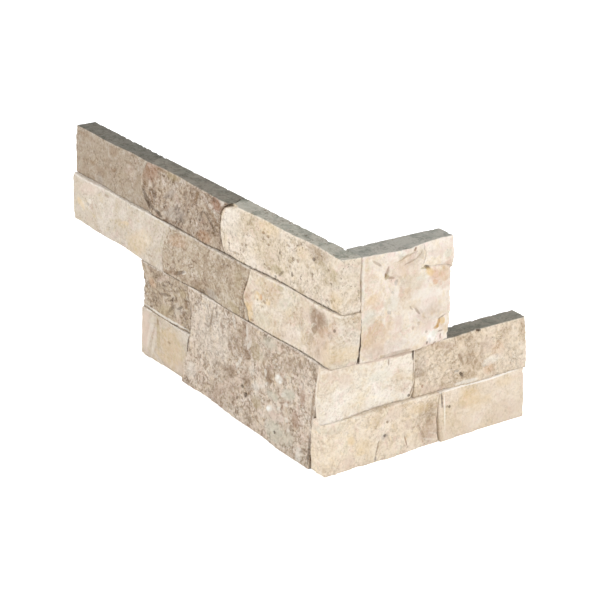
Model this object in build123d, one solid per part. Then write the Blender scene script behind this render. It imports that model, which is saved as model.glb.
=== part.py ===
from build123d import *
import math
import os

# Stacked stone corner panel: fourteen strips of natural stone glued edge to edge into an L.
# Millimetres, Z up. The inner corner edge of the two sawn backs is the Z axis, its foot the origin.
# The long leg runs towards -X with its back on Y = 0 and its split face towards -Y.
# The short leg runs towards +Y with its back on X = 0 and its split face towards +X.
# The two upper courses reach further on the long leg, the two lower ones on the short leg.

# Courses
course_height = 38.1
glue_line = 0.3

# Reach of each leg from the inner corner
long_reach_upper = 325.5
long_reach_lower = 221.0
short_reach_upper = 79.5
short_reach_lower = 153.5

# Length of the stones, counted off from a free end or from the inner corner
top_end_length = 101.0
top_middle_length = 107.5
upper_end_length = 136.5
upper_middle_length = 105.0
lower_end_length = 66.0
lower_corner_run = 48.5
bottom_corner_run = 72.0

# Depth of the step in the back of the lower corner stones that takes the end of the long leg
corner_rebate = 6.5

# Thickness readings of the split faces, in rows from the lower edge to the upper one.
# Each row is read along its leg, towards +X on the long leg and towards +Y on the short one.
top_end_face = ((16.6, 17.8, 18.4), (17.4, 17.0, 17.6), (16.8, 16.8, 16.2))
top_middle_face = ((18.8, 20.0, 18.4), (18.0, 16.6, 18.4), (15.8, 15.0, 19.0))
top_corner_face = ((18.0, 16.8, 15.8, 16.4), (18.4, 15.6, 14.4, 16.6), (14.2, 14.3, 13.1, 15.0))
upper_end_face = ((19.4, 20.2, 22.4), (22.6, 21.4, 22.2), (19.8, 19.8, 20.0))
upper_middle_face = ((22.2, 20.8, 22.2), (21.8, 19.8, 21.2), (20.2, 19.6, 18.4))
upper_corner_face = ((22.2, 21.4, 22.4), (20.8, 18.8, 21.0), (18.4, 16.0, 17.4))
lower_end_face = ((22.2, 21.2, 20.4), (19.4, 20.0, 20.2), (23.0, 21.6, 20.6))
bottom_end_face = ((21.2, 21.2, 21.0), (21.0, 20.6, 20.8), (20.8, 20.6, 20.4))
long_double_face = ((23.8, 25.4, 27.8, 29.6), (21.4, 22.6, 24.2, 25.6), (20.2, 20.8, 21.0, 20.6))
short_double_face = (
    (20.2, 20.4, 20.2, 18.2),
    (20.0, 19.8, 19.6, 17.8),
    (19.8, 19.0, 18.8, 16.8),
    (19.6, 18.8, 17.8, 15.2),
    (19.2, 19.4, 19.4, 19.4),
    (17.2, 19.6, 22.2, 18.6, 14.4, 14.9),
)
lower_corner_face = ((19.6, 18.8, 16.6, 15.6), (20.4, 19.0, 17.4, 16.6), (18.4, 17.8, 16.8, 16.0))
lower_return_face = ((17.8, 18.4, 20.0, 18.8), (17.2, 17.6, 18.2, 17.4), (15.6, 15.8, 15.0, 13.8))
bottom_corner_face = ((22.8, 22.2, 21.0), (22.0, 21.2, 20.2), (20.6, 20.0, 19.4))
bottom_return_face = ((21.2, 21.6, 19.6), (20.6, 20.8, 19.2), (19.8, 19.6, 17.0))

# Readings of the heads that the four corner stones show on the other leg
top_corner_head = ((19.6, 20.4), (17.6, 18.2), (16.6, 17.4))
upper_corner_head = ((19.2, 17.4), (19.8, 19.6), (19.6, 20.4))
lower_corner_head = ((20.8, 31.0), (22.0, 34.8), (17.8, 31.0))
bottom_corner_head = ((26.0, 26.8), (26.6, 27.2), (25.8, 26.8))

# Waviness that splitting leaves over the readings
long_wave = 66.0
short_wave = 37.0
long_wave_height = 0.65
short_wave_height = 0.1

# Spacing of the points that a split face passes through, and how far it runs past its stone
point_spacing = 14.0
overrun = 3.0

os.makedirs("parts", exist_ok=True)


def between(readings, share):
    """Value at a share of the way along evenly spaced readings."""
    steps = len(readings) - 1
    place = min(max(share, 0.0), 1.0) * steps
    first = min(int(place), steps - 1)
    rest = place - first
    return readings[first] * (1 - rest) + readings[first + 1] * rest


def wave(along, height, phase):
    """Gentle unevenness of a split face, different for every phase."""
    slow = math.sin(math.tau * (along + 0.6 * height) / long_wave + phase)
    quick = math.sin(math.tau * (0.8 * along - height) / short_wave + 2.3 * phase)
    cross = math.cos(math.tau * (height + 0.3 * along) / short_wave + 1.7 * phase)
    return long_wave_height * slow + short_wave_height * quick * cross


def on_leg(leg, along, depth, height):
    """Point at a place along a leg, at a depth in front of its sawn back."""
    if leg == "long":
        return Vector(along, -depth, height)
    return Vector(depth, along, height)


def leg_block(leg, start, end, near, far, low, high):
    """Square block on a leg, between two places, two depths and two heights."""
    one = on_leg(leg, start, near, low)
    other = on_leg(leg, end, far, high)
    middle = (one + other) * 0.5
    size = other - one
    return Pos(middle.X, middle.Y, middle.Z) * Box(abs(size.X), abs(size.Y), abs(size.Z))


def behind_split(leg, start, end, low, high, rows, phase, through):
    """Everything behind a split face, for a distance through the stone."""
    columns = max(4, math.ceil((end - start) / point_spacing) + 1)
    levels = max(4, math.ceil((high - low) / point_spacing) + 1)
    grid = []
    for level in range(levels):
        rise = level / (levels - 1)
        height = low - overrun + rise * (high - low + 2 * overrun)
        line = []
        for column in range(columns):
            run = column / (columns - 1)
            place = start - overrun + run * (end - start + 2 * overrun)
            across = [between(row, (place - start) / (end - start)) for row in rows]
            depth = between(across, (height - low) / (high - low))
            line.append(on_leg(leg, place, depth + wave(place, height, phase), height))
        grid.append(line)
    skin = Face.make_surface_from_array_of_points(grid, tol=0.05, min_deg=3, max_deg=5)
    return extrude(skin, amount=through, dir=on_leg(leg, 0, -1, 0))


def thickest(rows):
    """Depth that no part of a face goes beyond."""
    return max(max(row) for row in rows) + long_wave_height + short_wave_height


def strip(leg, start, end, course, rows, phase):
    """Strip of stone with a sawn back, beds and ends, and a split face."""
    low, high = course
    reach = thickest(rows)
    block = leg_block(leg, start, end, 0, reach, low, high)
    return block & behind_split(leg, start, end, low, high, rows, phase, reach + overrun)


def long_corner_strip(start, course, rows, head_rows, phase):
    """Strip of the long leg that runs through the corner, its head beside the short leg's face."""
    low, high = course
    head_reach = thickest(head_rows)
    body = strip("long", start, head_reach, course, rows, phase)
    through = head_reach - start + overrun
    head = behind_split("short", -thickest(rows), 0, low, high, head_rows, phase + 1, through)
    return body & head


def short_corner_strip(end, course, rows, head_rows, phase):
    """Strip of the short leg that runs through the corner, stepped for the end of the long leg."""
    low, high = course
    head_reach = thickest(head_rows)
    body = strip("short", -head_reach, end, course, rows, phase)
    through = head_reach + end + overrun
    head = behind_split("long", 0, thickest(rows), low, high, head_rows, phase + 1, through)
    step = leg_block("short", -head_reach - overrun, glue_line, 0, corner_rebate, low, high)
    return (body & head) - step


def save(name, body):
    """Write one stone under its name, and print its volume and its lowest and highest corner."""
    solid = body.solid()
    export_step(solid, "parts/" + name + ".step")
    box = solid.bounding_box()
    low = [round(value, 1) for value in box.min]
    high = [round(value, 1) for value in box.max]
    print(name, round(solid.volume / 1000, 1), "cm3", low, high)


# Beds: the low and high face of each course, half a glue line clear of an inner bed
half_glue = glue_line / 2
bottom_bed = course_height
middle_bed = 2 * course_height
upper_bed = 3 * course_height
panel_top = 4 * course_height
bottom_course = (0, bottom_bed - half_glue)
lower_course = (bottom_bed + half_glue, middle_bed - half_glue)
upper_course = (middle_bed + half_glue, upper_bed - half_glue)
top_course = (upper_bed + half_glue, panel_top)
lower_two_courses = (0, middle_bed - half_glue)
upper_two_courses = (middle_bed + half_glue, panel_top)

# Joints: where one stone of a course ends and the next one starts
top_first_joint = top_end_length - long_reach_upper
top_second_joint = top_first_joint + top_middle_length
upper_first_joint = upper_end_length - long_reach_upper
upper_second_joint = upper_first_joint + upper_middle_length
lower_first_joint = lower_end_length - long_reach_lower
long_leg_end = corner_rebate - glue_line

# Long leg, top course
start = -long_reach_upper
end = top_first_joint - half_glue
save("top_course_end_stone", strip("long", start, end, top_course, top_end_face, 0.4))
start = top_first_joint + half_glue
end = top_second_joint - half_glue
save("top_course_middle_stone", strip("long", start, end, top_course, top_middle_face, 2.1))
start = top_second_joint + half_glue
top_corner = long_corner_strip(start, top_course, top_corner_face, top_corner_head, 3.3)
save("top_course_corner_stone", top_corner)

# Long leg, upper course
start = -long_reach_upper
end = upper_first_joint - half_glue
save("upper_course_end_stone", strip("long", start, end, upper_course, upper_end_face, 5.2))
start = upper_first_joint + half_glue
end = upper_second_joint - half_glue
save("upper_course_middle_stone", strip("long", start, end, upper_course, upper_middle_face, 0.9))
start = upper_second_joint + half_glue
upper_corner = long_corner_strip(start, upper_course, upper_corner_face, upper_corner_head, 1.5)
save("upper_course_corner_stone", upper_corner)

# Long leg, two lower courses, where one tall block runs from the end stones to the corner
start = -long_reach_lower
end = lower_first_joint - half_glue
save("lower_course_end_stone", strip("long", start, end, lower_course, lower_end_face, 4.4))
save("bottom_course_end_stone", strip("long", start, end, bottom_course, bottom_end_face, 2.7))
start = lower_first_joint + half_glue
double = strip("long", start, long_leg_end, lower_two_courses, long_double_face, 3.9)
save("long_leg_double_block", double)

# Short leg, two upper courses, which are one tall block
double = strip("short", glue_line, short_reach_upper, upper_two_courses, short_double_face, 5.9)
save("short_leg_double_block", double)

# Short leg, two lower courses
end = lower_corner_run - half_glue
lower_corner = short_corner_strip(end, lower_course, lower_corner_face, lower_corner_head, 1.2)
save("lower_course_corner_stone", lower_corner)
start = lower_corner_run + half_glue
end = short_reach_lower
save("lower_course_return_stone", strip("short", start, end, lower_course, lower_return_face, 2.4))
end = bottom_corner_run - half_glue
bottom_corner = short_corner_strip(end, bottom_course, bottom_corner_face, bottom_corner_head, 4.8)
save("bottom_course_corner_stone", bottom_corner)
start = bottom_corner_run + half_glue
end = short_reach_lower
bottom_return = strip("short", start, end, bottom_course, bottom_return_face, 0.2)
save("bottom_course_return_stone", bottom_return)
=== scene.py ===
import math
from typing import NamedTuple

import bpy
from mathutils import Matrix, Vector


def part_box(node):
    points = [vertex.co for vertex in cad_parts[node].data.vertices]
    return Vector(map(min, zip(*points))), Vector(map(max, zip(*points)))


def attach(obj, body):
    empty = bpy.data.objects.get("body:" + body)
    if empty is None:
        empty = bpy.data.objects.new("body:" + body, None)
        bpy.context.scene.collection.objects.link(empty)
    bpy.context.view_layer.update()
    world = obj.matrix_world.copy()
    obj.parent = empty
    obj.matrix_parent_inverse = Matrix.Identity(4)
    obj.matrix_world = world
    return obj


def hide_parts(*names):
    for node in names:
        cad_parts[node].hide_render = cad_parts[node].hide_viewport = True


bl_info = {
    "name": "Stacked Stone Panel",
    "version": (1, 0, 0),
    "blender": (4, 5, 0),
    "location": "View3D > Sidebar > Stone Panel",
    "description": "Carves and colours the split stones of a ledger corner panel",
    "category": "Object",
}

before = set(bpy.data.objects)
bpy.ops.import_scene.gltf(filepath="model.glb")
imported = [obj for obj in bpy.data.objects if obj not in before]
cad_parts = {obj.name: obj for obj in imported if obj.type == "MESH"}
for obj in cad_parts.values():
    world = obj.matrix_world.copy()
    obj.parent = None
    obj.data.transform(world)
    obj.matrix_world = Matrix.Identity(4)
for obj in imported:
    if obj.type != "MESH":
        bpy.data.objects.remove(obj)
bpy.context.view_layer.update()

# Relief and colours are laid out in millimetres, and the scene is in metres
MM = 0.001
PER_METRE = 1000.0


def shade(red, green, blue):
    """Colour as a paint chart gives it, 0 to 255, as the linear colour that a shader reads."""
    parts = []
    for value in (red, green, blue):
        value = value / 255
        parts.append(value / 12.92 if value <= 0.04045 else ((value + 0.055) / 1.055) ** 2.4)
    return tuple(parts)


def colour(name, description, chart):
    """Colour that a user can change."""
    return bpy.props.FloatVectorProperty(
        name=name, description=description, default=shade(*chart), subtype="COLOR", min=0.0, max=1.0
    )


def size(name, description, millimetres):
    """Size that a user can change, stored in metres."""
    return bpy.props.FloatProperty(
        name=name, description=description, default=millimetres * MM, subtype="DISTANCE", unit="LENGTH"
    )


def number(name, description, default):
    """Plain number that a user can change."""
    return bpy.props.FloatProperty(name=name, description=description, default=default, min=0.0)


class StoneColours(bpy.types.PropertyGroup):
    """Main and second colour of every stone, and the stains that all of them share."""

    top_end_main: colour("Top end stone", "Taupe ground of the stone", (163, 149, 131))
    top_end_second: colour("Top end stone mottle", "Darker mottle of the stone", (150, 128, 105))
    top_middle_main: colour("Top middle stone", "Grey brown ground of the stone", (179, 162, 142))
    top_middle_second: colour("Top middle stone mottle", "Dark brown mottle of the stone", (118, 94, 72))
    top_corner_main: colour("Top corner stone", "Cream ground of the stone", (217, 204, 186))
    top_corner_second: colour("Top corner stone mottle", "Yellow brown mottle of the stone", (186, 168, 138))
    upper_end_main: colour("Upper end stone", "Cream ground of the stone", (194, 183, 168))
    upper_end_second: colour("Upper end stone mottle", "Yellow cream mottle of the stone", (182, 166, 143))
    upper_middle_main: colour("Upper middle stone", "Brown beige ground of the stone", (186, 171, 150))
    upper_middle_second: colour("Upper middle stone mottle", "Brown mottle of the stone", (146, 120, 94))
    upper_corner_main: colour("Upper corner stone", "Pink cream ground of the stone", (210, 197, 178))
    upper_corner_second: colour("Upper corner stone mottle", "Tan mottle of the stone", (188, 164, 136))
    lower_end_main: colour("Lower end stone", "Grey brown ground of the stone", (186, 169, 147))
    lower_end_second: colour("Lower end stone mottle", "Dark brown mottle of the stone", (104, 84, 66))
    bottom_end_main: colour("Bottom end stone", "Light beige ground of the stone", (191, 179, 163))
    bottom_end_second: colour("Bottom end stone mottle", "Tan mottle of the stone", (184, 163, 134))
    long_double_main: colour("Tall rough block", "Pink grey ground of the block", (213, 197, 179))
    long_double_second: colour("Tall rough block mottle", "Dark brown mottle of the block", (150, 131, 108))
    short_double_main: colour("Tall light block", "Pink cream ground of the block", (221, 209, 195))
    short_double_second: colour("Tall light block mottle", "Tan mottle of the block", (205, 184, 160))
    lower_corner_main: colour("Lower corner stone", "White cream ground of the stone", (225, 216, 202))
    lower_corner_second: colour("Lower corner stone mottle", "Cream mottle of the stone", (206, 188, 164))
    lower_return_main: colour("Lower return stone", "Beige ground of the stone", (221, 205, 183))
    lower_return_second: colour("Lower return stone mottle", "Brown mottle of the stone", (172, 148, 120))
    bottom_corner_main: colour("Bottom corner stone", "Beige ground of the stone", (225, 211, 191))
    bottom_corner_second: colour("Bottom corner stone mottle", "Tan mottle of the stone", (194, 170, 138))
    bottom_return_main: colour("Bottom return stone", "Light beige ground of the stone", (220, 205, 186))
    bottom_return_second: colour("Bottom return stone mottle", "Tan mottle of the stone", (202, 182, 150))
    sawn: colour("Sawn face", "Grey of the sawn beds, backs and ends", (176, 173, 162))
    rust: colour("Rust stain", "Orange iron stain", (198, 148, 108))
    russet: colour("Russet stain", "Red brown stain", (142, 102, 78))
    ochre: colour("Ochre stain", "Yellow stain", (212, 184, 134))
    amber: colour("Amber stain", "Dark yellow stain", (178, 136, 72))
    olive: colour("Olive stain", "Dull green brown stain", (168, 152, 118))
    pale_green: colour("Green calcite", "Pale grey green crystals", (196, 194, 178))
    umber: colour("Umber stain", "Brown stain", (126, 98, 70))
    mauve: colour("Mauve stain", "Pale purple stain", (206, 186, 172))
    calcite: colour("Calcite", "Milky crystals", (224, 219, 210))
    white: colour("White crystal", "Clear white crystals", (240, 240, 236))
    pale_grey: colour("Grey mottle", "Cool grey patches", (158, 150, 142))
    # Pit also gives the dark joint lines: the line under a stone's lower edge and several joint patches are
    # painted shadow in the gap
    pit: colour("Pit", "Earth in the small pits", (76, 60, 46))


class ReliefSizes(bpy.types.PropertyGroup):
    """Sizes of the relief on split faces and sawn faces."""

    mesh_step: size("Mesh step", "Spacing of the points that carry the relief", 0.75)
    flake: size("Flake", "Width of the shells that splitting leaves", 30.0)
    lump: size("Lump", "Width of the lumps on a split face", 7.0)
    grain: size("Grain", "Width of the grains on a split face", 2.2)
    chip: size("Chip", "Length of the chips along an edge", 6.0)
    chip_depth: size("Chip depth", "Depth of the chips along an edge", 0.9)


class StageSettings(bpy.types.PropertyGroup):
    """Floor, lamps and camera."""

    floor_colour: colour("Floor", "Colour of the floor", (238, 238, 238))
    floor_width: size("Floor width", "Width of the floor", 4000.0)
    horizon_light: number("Side light", "Strength of the even light from all sides", 0.5)
    zenith_light: number("Sky light", "Strength of the even light from above", 0.15)
    long_power: number("Long leg lamp", "Power of the lamp in front of the long leg, in watts", 22.0)
    short_power: number("Short leg lamp", "Power of the lamp in front of the short leg, in watts", 21.0)
    back_power: number("Back lamp", "Power of the lamp behind, in watts", 10.0)
    lens: number("Lens", "Focal length of the camera in millimetres", 118.6)


class Wire:
    """Output of a node. Sums and products of wires make the nodes that work them out."""

    def __init__(self, graph, socket):
        self.graph = graph
        self.socket = socket

    def __add__(self, other):
        return self.graph.math("ADD", self, other)

    def __sub__(self, other):
        return self.graph.math("SUBTRACT", self, other)

    def __rsub__(self, other):
        return self.graph.math("SUBTRACT", other, self)

    def __mul__(self, other):
        return self.graph.math("MULTIPLY", self, other)

    __radd__ = __add__


class Graph:
    """Node tree of a material or of a modifier, built from formulas."""

    def __init__(self, tree):
        self.tree = tree

    def node(self, kind, **settings):
        """New node with some of its settings."""
        made = self.tree.nodes.new(kind)
        for key, value in settings.items():
            setattr(made, key, value)
        return made

    def source(self, kind, output=0, **settings):
        """Output of a new node that needs no input."""
        return Wire(self, self.node(kind, **settings).outputs[output])

    def feed(self, socket, value):
        """Link a wire to a socket, or set the socket to a plain value."""
        if isinstance(value, Wire):
            self.tree.links.new(value.socket, socket)
        else:
            socket.default_value = value

    def math(self, operation, first, second=0.0, clamp=False):
        """One sum, product or other operation on two numbers."""
        made = self.node("ShaderNodeMath", operation=operation, use_clamp=clamp)
        self.feed(made.inputs[0], first)
        self.feed(made.inputs[1], second)
        return Wire(self, made.outputs[0])

    def largest(self, first, second):
        return self.math("MAXIMUM", first, second)

    def clamped(self, value, factor):
        """Product that is kept between 0 and 1."""
        return self.math("MULTIPLY", value, factor, clamp=True)

    def sum_of(self, place, by):
        """A place moved by a vector."""
        made = self.node("ShaderNodeVectorMath", operation="ADD")
        self.feed(made.inputs[0], place)
        self.feed(made.inputs[1], by)
        return Wire(self, made.outputs["Vector"])

    def scaled(self, place, factor):
        """A vector times a number."""
        made = self.node("ShaderNodeVectorMath", operation="SCALE")
        self.feed(made.inputs[0], place)
        self.feed(made.inputs["Scale"], factor)
        return Wire(self, made.outputs["Vector"])

    def split(self, place):
        """The three parts of a vector."""
        made = self.node("ShaderNodeSeparateXYZ")
        self.feed(made.inputs[0], place)
        return [Wire(self, out) for out in made.outputs]

    def join(self, along, across, up):
        """Vector of three parts."""
        made = self.node("ShaderNodeCombineXYZ")
        for socket, value in zip(made.inputs, (along, across, up)):
            self.feed(socket, value)
        return Wire(self, made.outputs[0])

    def ease(self, value, low, high):
        """0 below low, 1 above high and a smooth way between. Low may be the larger one."""
        made = self.node("ShaderNodeMapRange", interpolation_type="SMOOTHSTEP")
        start, end = (0.0, 1.0) if low < high else (1.0, 0.0)
        self.feed(made.inputs["Value"], value)
        made.inputs["From Min"].default_value = min(low, high)
        made.inputs["From Max"].default_value = max(low, high)
        made.inputs["To Min"].default_value = start
        made.inputs["To Max"].default_value = end
        return Wire(self, made.outputs["Result"])

    def noise(self, place, width, detail=3.0, rough=0.5, warp=0.0):
        """Noise of about -1 to 1, in which a swelling and a hollow together are as wide as given."""
        made = self.node("ShaderNodeTexNoise", noise_dimensions="3D", noise_type="FBM", normalize=True)
        self.feed(made.inputs["Vector"], place)
        made.inputs["Scale"].default_value = 1.0 / width
        made.inputs["Detail"].default_value = detail
        made.inputs["Roughness"].default_value = rough
        made.inputs["Distortion"].default_value = warp
        return (Wire(self, made.outputs[0]) - 0.5) * NOISE_SPAN

    def pattern(self, place, pattern):
        """Noise as a table of patterns gives it."""
        if pattern.away:
            place = self.sum_of(place, pattern.away)
        return self.noise(place, pattern.width, pattern.detail, pattern.rough, pattern.warp)

    def cells(self, place, width):
        """Random cells of about the given width: distance to the middle and a random number for each."""
        made = self.node("ShaderNodeTexVoronoi", voronoi_dimensions="3D", feature="F1")
        self.feed(made.inputs["Vector"], place)
        made.inputs["Scale"].default_value = 1.0 / width
        pick, _, _ = self.split(Wire(self, made.outputs["Color"]))
        return Wire(self, made.outputs["Distance"]), pick

    def line(self, value, points):
        """Value read off a smooth line through the given points."""
        made = self.node("ShaderNodeFloatCurve")
        first, last = points[0][0], points[-1][0]
        reach = max(abs(point[1]) for point in points)
        curve = made.mapping.curves[0]
        while len(curve.points) < len(points):
            curve.points.new(0.5, 0.5)
        for knot, (place, level) in zip(curve.points, points):
            knot.location = ((place - first) / (last - first), 0.5 + 0.5 * level / reach)
        made.mapping.update()
        self.feed(made.inputs["Value"], (value - first) * (1 / (last - first)))
        return (Wire(self, made.outputs[0]) - 0.5) * (2 * reach)

    def mix(self, factor, first, second, blend="MIX"):
        """The first colour, with a share of the second one over it."""
        made = self.node("ShaderNodeMix", data_type="RGBA", blend_type=blend, clamp_factor=True)
        self.feed(made.inputs[0], factor)
        for socket, value in ((made.inputs[6], first), (made.inputs[7], second)):
            self.feed(socket, value if isinstance(value, Wire) else (*value, 1.0))
        return Wire(self, made.outputs[2])

    def darken(self, factor, first, tint):
        """The first colour, multiplied by a share of a tint."""
        return self.mix(factor, first, tint, "MULTIPLY")


class Pattern(NamedTuple):
    """Noise on a stone: its width in millimetres, its finer octaves, how rough and how warped it is, and how
    far it is moved away, so that no two patterns coincide."""

    width: float
    detail: float = 3.0
    rough: float = 0.5
    warp: float = 0.0
    away: tuple = ()


# Noise of about 0 to 1 times this spans about -1 to 1 once its middle is taken off
NOISE_SPAN = 3.2

RELIEF_PATTERNS = {
    "rough areas": Pattern(15.0, 2.0),
    "hollow edge": Pattern(5.0, 2.0),
    "scar edge": Pattern(9.0, 4.0, 0.65),
    "worn end": Pattern(12.0, 2.0),
    "torn end": Pattern(9.0, 3.0, 0.6),
}

COLOUR_PATTERNS = {
    "clouds": Pattern(24.0, 4.0, 0.55, 1.0),
    "mottles": Pattern(6.0, 5.0, 0.68, 1.2),
    "grains": Pattern(1.8, 3.0, 0.75),
    "busy areas": Pattern(13.0, 3.0, away=(19.0, 83.0, 7.0)),
    "warm": Pattern(8.0, 5.0, 0.72, 0.8, (11.0, 57.0, 91.0)),
    "cool": Pattern(10.0, 5.0, 0.72, 0.8, (33.0, 5.0, 77.0)),
    "cell wobble": Pattern(3.0, 2.0),
    "blots": Pattern(4.4, 4.0, 0.7, 0.5, (7.0, 41.0, 13.0)),
    "flecks": Pattern(2.8, 4.0, 0.75, 0.4, (61.0, 23.0, 47.0)),
    "veins": Pattern(9.0, 5.0, 0.62, 0.5, (3.0, 29.0, 53.0)),
    "specks": Pattern(2.5, 2.0, 0.6, 0.0, (71.0, 3.0, 29.0)),
    "mark edge": Pattern(5.0, 5.0, 0.75),
    "small mark edge": Pattern(2.4, 3.0, 0.7),
    "mark gaps": Pattern(2.6, 4.0, 0.7),
    "saw dust": Pattern(9.0, 4.0, 0.65, 0.8),
    "tooth": Pattern(1.1, 3.0, 0.65),
}


class Stone(NamedTuple):
    """How one stone lies in the panel, and how strongly its relief and its pattern stand out.

    The seed makes its patterns differ from the other stones' ones. The relief is in millimetres. The pattern
    is in shares of the way to another colour. Lean slants it, and tint widens its warm and cool areas."""

    leg: str
    seed: float
    # The head shows on the other leg, and the joints wander along the lines of their names
    head: bool = False
    low_joint: str = ""
    high_joint: str = ""
    # Relief
    flake: float = 0.3
    lump: float = 0.35
    grit: float = 0.2
    roll_low: float = 0.3
    roll_high: float = 0.3
    torn: float = 0.8
    # Pattern
    cloud: float = 0.4
    mottle: float = 0.4
    fine: float = 0.4
    blot: float = 0.3
    fleck: float = 0.2
    speck: float = 0.3
    crystal: float = 0.0
    vein: float = 0.3
    tint: float = 1.0
    lean: float = 0.0
    # Painted highlight on the upper edge, painted shadow on the lower one, and a darker sawn top
    # rim: painted highlight, the upper edge lighter as a ledge that catches the light
    rim: float = 0.6
    # under: painted shadow under the lower edge, over the dark of the glue line
    under: float = 0.0
    # dark_top and sawn: a top darker than the other sawn faces, partly painted shade and partly dirt on the
    # cut
    dark_top: bool = False
    sawn: float = 1.0

    @property
    def head_at_high_end(self):
        """Whether the high end is the head."""
        return self.head and self.leg == "long"


OTHER_LEG = {"long": "short", "short": "long"}

STONES = {
    "top_course_end_stone": Stone(
        "long", 11.0, high_joint="top_first",
        lump=0.3, grit=0.22, roll_high=0.1,
        mottle=0.45, fine=0.8, blot=0.85, fleck=0.1, speck=0.5, crystal=0.1, vein=0.35,
        rim=0.15, under=0.05, dark_top=True, sawn=0.6,
    ),
    "top_course_middle_stone": Stone(
        "long", 23.0, low_joint="top_first", high_joint="top_second",
        flake=0.5, lump=0.5, grit=0.4, roll_low=0.1, roll_high=0.1,
        cloud=1.05, mottle=0.7, fine=0.9, blot=1.0, fleck=0.5, speck=0.6, crystal=0.45, vein=0.9,
        rim=0.25, under=0.9, dark_top=True, sawn=0.74,
    ),
    "top_course_corner_stone": Stone(
        "long", 37.0, head=True, low_joint="top_second",
        grit=0.25, roll_low=0.1,
        cloud=1.25, mottle=0.55, fine=0.8, blot=0.5, speck=0.85, crystal=0.2,
        rim=0.3, under=1.0, dark_top=True, sawn=1.05,
    ),
    "upper_course_end_stone": Stone(
        "long", 41.0, high_joint="upper_first",
        lump=0.3, grit=0.12, roll_high=0.1,
        cloud=0.95, fine=0.65, blot=0.15, speck=0.2, crystal=0.1, vein=0.15, tint=1.6,
    ),
    "upper_course_middle_stone": Stone(
        "long", 59.0, low_joint="upper_first", high_joint="upper_second",
        flake=0.45, lump=0.4, grit=0.35, roll_low=0.1, roll_high=0.1,
        cloud=0.55, mottle=0.55, fine=0.9, blot=0.9, fleck=0.3, speck=0.5, crystal=0.3, vein=0.7,
        under=0.8,
    ),
    "upper_course_corner_stone": Stone(
        "long", 67.0, head=True, low_joint="upper_second",
        flake=0.5, lump=0.4, grit=0.15, roll_low=0.1,
        cloud=1.2, mottle=0.85, fine=0.65, blot=0.35, fleck=0.5, speck=0.45, crystal=0.15, vein=0.25,
        tint=1.6,
        rim=0.4, under=1.0,
    ),
    "lower_course_end_stone": Stone(
        "long", 73.0, high_joint="lower_first",
        flake=0.5, lump=0.6, grit=0.4, torn=3.0,
        cloud=0.6, mottle=0.55, fine=0.8, blot=1.0, fleck=0.4, speck=0.6, crystal=0.5, vein=0.8,
        under=0.5,
    ),
    "bottom_course_end_stone": Stone(
        "long", 83.0, high_joint="lower_first",
        flake=0.2, lump=0.2, grit=0.08, torn=0.5,
        cloud=0.6, mottle=0.5, fine=0.5, blot=0.1, fleck=0.15, speck=0.2, vein=0.2, tint=1.6, lean=0.5,
    ),
    "long_leg_double_block": Stone(
        "long", 97.0, low_joint="lower_first",
        flake=0.4, lump=0.55, grit=0.5, torn=0.0,
        cloud=0.85, mottle=0.7, fine=0.8, blot=0.9, fleck=0.9, speck=0.6, crystal=0.7, vein=0.8, tint=1.3,
    ),
    "short_leg_double_block": Stone(
        "short", 101.0, low_joint="corner_first",
        flake=0.8, lump=0.9, grit=0.14, roll_low=0.0, torn=1.5,
        cloud=1.5, mottle=0.8, fine=0.32, blot=0.2, fleck=0.5, crystal=0.1, vein=0.12, tint=2.0,
        rim=0.15, dark_top=True, sawn=0.88,
    ),
    "lower_course_corner_stone": Stone(
        "short", 113.0, head=True, high_joint="lower_second",
        flake=0.25, lump=0.25, grit=0.1,
        cloud=1.3, mottle=0.7, fine=0.6, blot=0.1, fleck=0.4, crystal=0.1, vein=0.1, tint=1.3,
        rim=0.3, under=0.25,
    ),
    "lower_course_return_stone": Stone(
        "short", 127.0, low_joint="lower_second",
        flake=0.4, lump=0.4, grit=0.28,
        cloud=0.85, mottle=0.65, fine=0.7, blot=0.6, fleck=0.6, speck=0.35, crystal=0.35, vein=0.4,
        rim=0.3, under=0.1, dark_top=True, sawn=0.68,
    ),
    "bottom_course_corner_stone": Stone(
        "short", 139.0, head=True, high_joint="bottom_first",
        flake=0.35, lump=0.4, grit=0.18,
        cloud=0.8, mottle=0.65, fine=0.65, blot=0.35, fleck=0.5, speck=0.4, crystal=0.15, vein=0.25,
        tint=1.3,
        rim=0.35,
    ),
    "bottom_course_return_stone": Stone(
        "short", 149.0, low_joint="bottom_first",
        flake=0.2, lump=0.2, grit=0.1,
        cloud=0.8, mottle=0.5, fine=0.5, blot=0.1, fleck=0.3, speck=0.2, crystal=0.05, vein=0.15,
        rim=0.95,
    ),
}

# How far a joint wanders along its leg at some heights, on the split side. Both neighbours follow it, but
# only the tall block of the short leg follows corner_first.
JOINT_LINES = {
    "top_first": ((114.4, 9.0), (119.0, 7.0), (128.0, -0.5), (137.0, -3.2), (146.0, -0.5), (152.4, 4.0)),
    "top_second": (
        (114.4, 2.0), (122.0, -2.5), (132.0, -5.2), (142.0, -5.6), (147.0, -3.5), (150.5, 0.5),
        (152.4, 5.0),
    ),
    "corner_first": ((76.3, 0.1), (112.0, 0.1), (113.5, -0.14), (152.4, -0.14)),
    "upper_first": ((76.3, 0.0), (82.0, -2.5), (88.0, -2.6), (98.0, -1.0), (109.0, 3.5), (114.2, 4.5)),
    "upper_second": ((76.3, 5.5), (84.0, 2.0), (93.0, -4.5), (98.0, -3.0), (105.0, -1.0), (114.2, 1.5)),
    "lower_first": (
        (0.0, -5.0), (12.6, -3.9), (25.7, -1.5), (37.0, -0.3), (52.0, 0.7), (63.0, -2.2), (76.1, -5.5),
    ),
    "lower_second": ((38.2, 2.6), (55.0, 3.4), (76.1, 3.2)),
    "bottom_first": ((0.0, 2.5), (14.0, 0.5), (26.0, -0.2), (38.0, 1.2)),
}

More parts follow.
